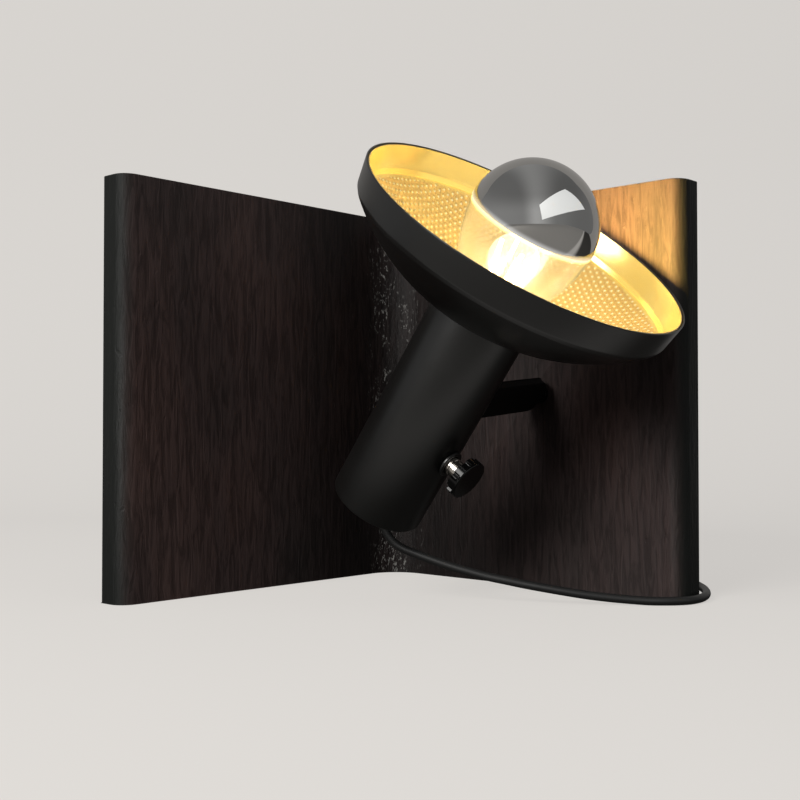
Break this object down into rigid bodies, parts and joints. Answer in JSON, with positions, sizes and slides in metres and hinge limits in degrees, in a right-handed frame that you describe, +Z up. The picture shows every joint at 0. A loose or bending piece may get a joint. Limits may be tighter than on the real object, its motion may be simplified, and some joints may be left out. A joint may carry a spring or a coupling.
{
  "type": "table lamp",
  "caption": "Table lamp on a stood-up length of steel angle; an arm on one flange tilts a black tube with switch, dimpled gold dish shade and crown-mirror bulb.",
  "frame": {"origin": "on the surface the lamp stands on, under the middle of its own box without the cord", "axes": "+Z up along the beam's height, the angle's opening towards -Y, its right flange towards +X"},
  "size_m": [0.2938, 0.2954, 0.2095],
  "materials": {
    "mill_scale_steel": "hot-rolled mill scale, oiled, fine vertical grain",
    "black_paint": "matte black powder coat",
    "gold_reflector": "gold anodised, dimpled",
    "clear_glass": "clear blown glass",
    "silver_mirror": "silvered crown",
    "black_plastic": "satin moulded black",
    "cord_rubber": "matte black sheath",
    "nickel": "bright nickel plate",
    "zinc": "zinc plate",
    "brass": "plain brass",
    "ceramic": "glazed steatite",
    "nylon": "natural nylon",
    "wire_sheath": "brown silicone sleeve",
    "filament": "glowing filament"
  },
  "bodies": {
    "beam": {"beam_angle": "mill_scale_steel", "pivot_bush": "black_plastic", "pivot_spring_washer": "zinc", "pivot_washer": "zinc", "cord_floor": "cord_rubber", "cord_coil": "cord_rubber", "cord_tie": "black_plastic", "plug_relief": "cord_rubber", "plug_body": "black_plastic", "plug_pin_1": "nickel", "plug_pin_2": "nickel"},
    "head": {"swing_arm": "black_paint", "pivot_stud": "black_paint", "pivot_nut": "zinc", "lamp_tube": "black_paint", "tube_end_cap": "black_paint", "end_cap_screw_1": "black_paint", "end_cap_screw_2": "black_paint", "cord_relief": "cord_rubber", "relief_nut": "nylon", "cord_sheath_end": "cord_rubber", "terminal_block": "ceramic", "block_screw": "zinc", "terminal_screw_1": "brass", "terminal_screw_2": "brass", "switch_case": "black_plastic", "switch_cover": "black_plastic", "switch_collar": "nickel", "switch_ring_nut": "black_paint", "switch_contact_1": "brass", "switch_contact_2": "brass", "holder_bridge": "zinc", "holder_nipple": "brass", "nipple_nut": "zinc", "holder_shell": "black_plastic", "holder_core": "ceramic", "holder_screw_shell": "brass", "holder_centre_contact": "brass", "wire_supply_live": "wire_sheath", "wire_supply_neutral": "wire_sheath", "wire_lamp_neutral": "wire_sheath", "wire_lamp_live": "wire_sheath", "shade_shell": "black_paint", "reflector_liner": "gold_reflector", "shade_ring": "black_plastic", "bulb_glass": "clear_glass", "bulb_mirror_cap": "silver_mirror", "bulb_cap": "nickel", "bulb_insulator": "black_plastic", "bulb_contact": "brass", "bulb_stem": "clear_glass", "bulb_filaments": "filament", "cord_drop": "cord_rubber"},
    "knob": {"switch_knob": "black_plastic", "switch_spindle": "zinc", "switch_rotor": "black_plastic"}
  },
  "joints": [
    {"name": "head_tilt", "type": "hinge", "parent": "beam", "child": "head", "pos_m": [0.07283, 0.04299, 0.099], "axis": [0.7071, 0.7071, 0], "range_deg": [-50, 50], "deforming": ["cord_drop"]},
    {"name": "switch_turn", "type": "hinge", "parent": "head", "child": "knob", "pos_m": [0.0046, -0.02363, 0.07943], "axis": [0.638, -0.475, -0.606], "range_deg": [0, 90]}
  ]
}
